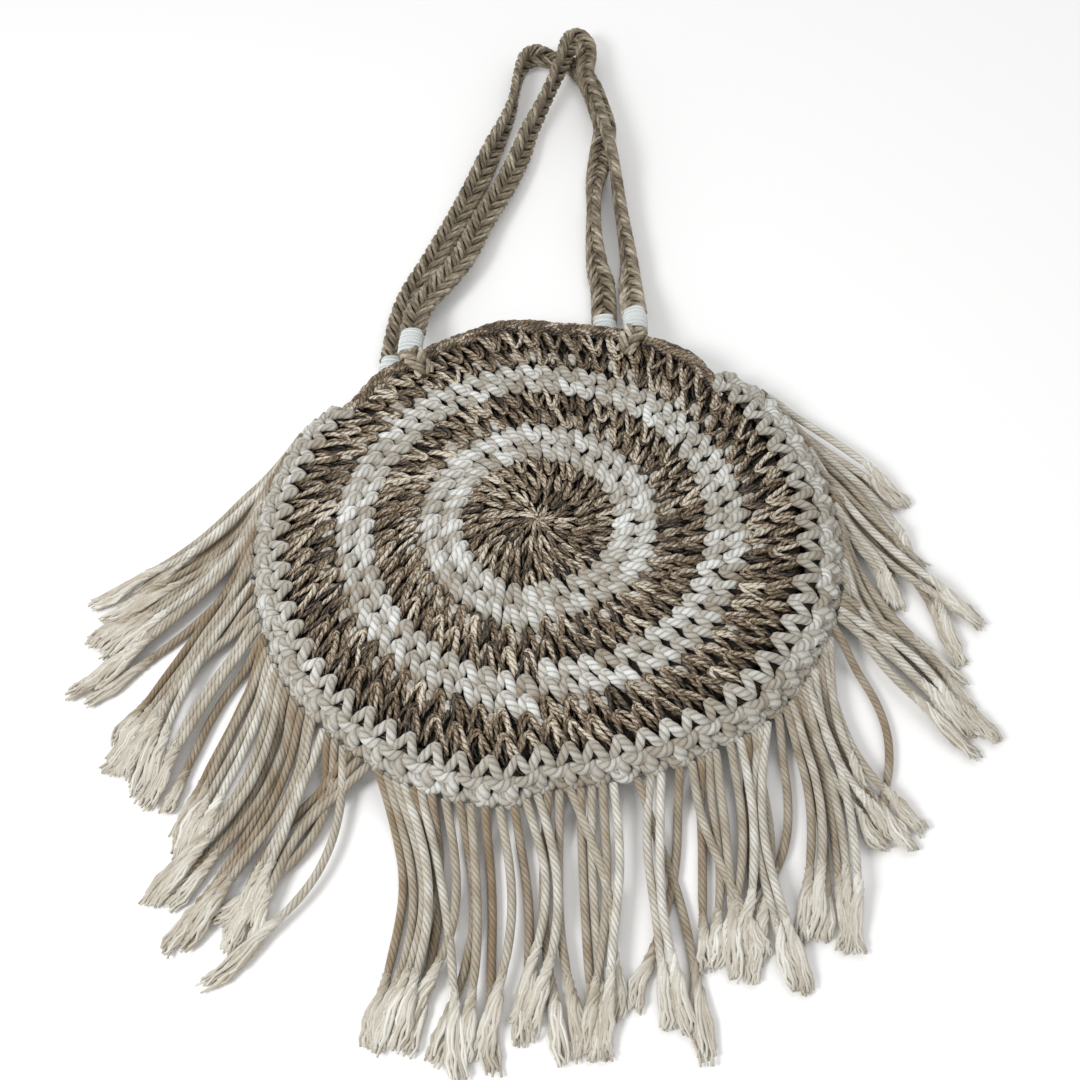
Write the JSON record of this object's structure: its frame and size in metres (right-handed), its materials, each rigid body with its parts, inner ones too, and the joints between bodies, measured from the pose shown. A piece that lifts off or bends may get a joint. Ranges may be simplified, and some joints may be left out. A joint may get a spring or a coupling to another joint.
{
  "type": "fringe bag",
  "caption": "Round flat crocheted shoulder bag with straw and white stripes, an open mouth, a knotted rope fringe round its lower edge and two flat braided handles, lying on its back.",
  "frame": {"origin": "centre of the crochet rounds on the outer face of the back panel, on the floor", "axes": "+Y from the centre of the bag to its handles, +Z out of the front panel"},
  "size_m": [0.5469, 0.834, 0.034],
  "materials": {
    "straw": "rough twisted jute or straw yarn",
    "cotton": "matt twisted cotton rope",
    "whipping": "fine white cotton cord"
  },
  "bodies": {
    "root": {"front_centre": "straw", "front_white_inner": "cotton", "front_straw_middle": "straw", "front_white_outer": "cotton", "front_straw_outer": "straw", "back_centre": "straw", "back_white_inner": "cotton", "back_straw_middle": "straw", "back_white_outer": "cotton", "back_straw_outer": "straw", "edge_band": "cotton", "front_rim": "straw", "back_rim": "straw", "fringe_left": "cotton", "fringe_bottom": "cotton", "fringe_right": "cotton", "handle_front": "straw", "handle_back": "straw", "whipping_front_left": "whipping", "whipping_front_right": "whipping", "whipping_back_left": "whipping", "whipping_back_right": "whipping", "loop_front_left": "straw", "loop_front_right": "straw", "loop_back_left": "straw", "loop_back_right": "straw"}
  },
  "joints": []
}
